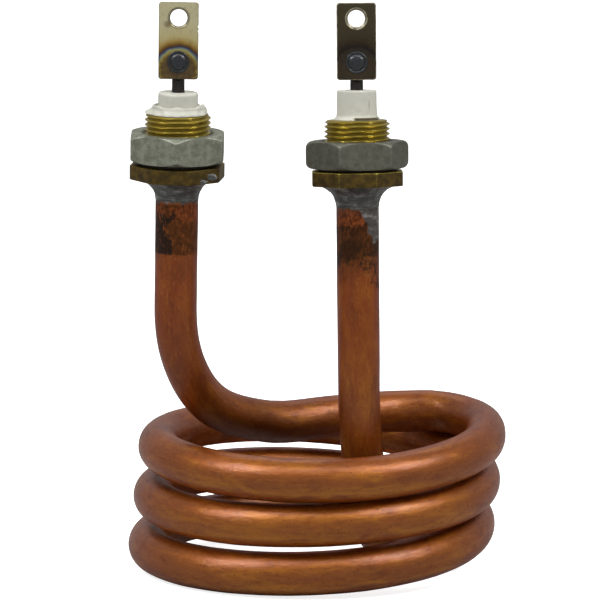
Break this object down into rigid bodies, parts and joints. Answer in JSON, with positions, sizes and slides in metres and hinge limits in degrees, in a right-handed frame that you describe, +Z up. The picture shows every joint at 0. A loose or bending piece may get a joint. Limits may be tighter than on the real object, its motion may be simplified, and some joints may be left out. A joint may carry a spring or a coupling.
{
  "type": "immersion heating element",
  "caption": "Copper-sheathed tubular immersion heater wound into a short coil, with two straight legs that end in screwed brass fittings, hexagon nuts, ceramic insulators and tab terminals.",
  "frame": {"origin": "centre of the bounding box at the level of the surface that the coil stands on", "axes": "+Z up along the legs, -Y towards the side that the terminal tabs face, +X from the left leg to the right leg"},
  "size_m": [0.1186, 0.1185, 0.1789],
  "materials": {
    "copper_sheath": "oxidised drawn copper, satin",
    "magnesia": "pressed powder, matt",
    "resistance_wire": "oxidised nickel-chromium wire",
    "pin_steel": "blackened steel",
    "seal_silicone": "red silicone, matt",
    "insulator_ceramic": "unglazed steatite",
    "bushing_brass": "tarnished brass with bright thread",
    "solder": "dull tin solder",
    "gasket_fibre": "compressed fibre, dark",
    "nut_zinc": "dull hot-dip zinc",
    "left_tab_steel": "nickel plate with heat tint",
    "right_tab_steel": "nickel plate, darkened",
    "weld_metal": "blued weld metal"
  },
  "bodies": {
    "heater": {"sheath": "copper_sheath", "magnesia_core": "magnesia", "resistance_coil": "resistance_wire", "left_terminal_pin": "pin_steel", "left_end_seal": "seal_silicone", "left_ceramic_insulator": "insulator_ceramic", "left_bushing": "bushing_brass", "left_solder_joint": "solder", "left_terminal_tab": "left_tab_steel", "left_weld_plug": "weld_metal", "right_terminal_pin": "pin_steel", "right_end_seal": "seal_silicone", "right_ceramic_insulator": "insulator_ceramic", "right_bushing": "bushing_brass", "right_solder_joint": "solder", "right_terminal_tab": "right_tab_steel", "right_weld_plug": "weld_metal"},
    "left_gasket_ring": {"left_gasket": "gasket_fibre"},
    "left_nut": {"left_hex_nut": "nut_zinc"},
    "right_gasket_ring": {"right_gasket": "gasket_fibre"},
    "right_nut": {"right_hex_nut": "nut_zinc"}
  },
  "joints": [
    {"name": "left_nut_lift", "type": "slide", "parent": "heater", "child": "left_gasket_ring", "axis": [0.0174, -0.075, 0.997], "range_m": [0, 0.0058]},
    {"name": "left_nut_turn", "type": "hinge", "parent": "left_gasket_ring", "child": "left_nut", "pos_m": [-0.04242, -0.02637, 0.13077], "axis": [0.0174, -0.075, 0.997], "range_deg": [0, 1391.5]},
    {"name": "right_nut_lift", "type": "slide", "parent": "heater", "child": "right_gasket_ring", "axis": [-0.0087, 0.0244, 0.9997], "range_m": [0, 0.0063]},
    {"name": "right_nut_turn", "type": "hinge", "parent": "right_gasket_ring", "child": "right_nut", "pos_m": [0.01231, -0.02196, 0.12778], "axis": [-0.0087, 0.0244, 0.9997], "range_deg": [0, 1511.5]}
  ],
  "couplings": [
    {"joint": "left_nut_lift", "follows": "left_nut_turn", "m_per_rad": 0.00023873},
    {"joint": "right_nut_lift", "follows": "right_nut_turn", "m_per_rad": 0.00023873}
  ]
}
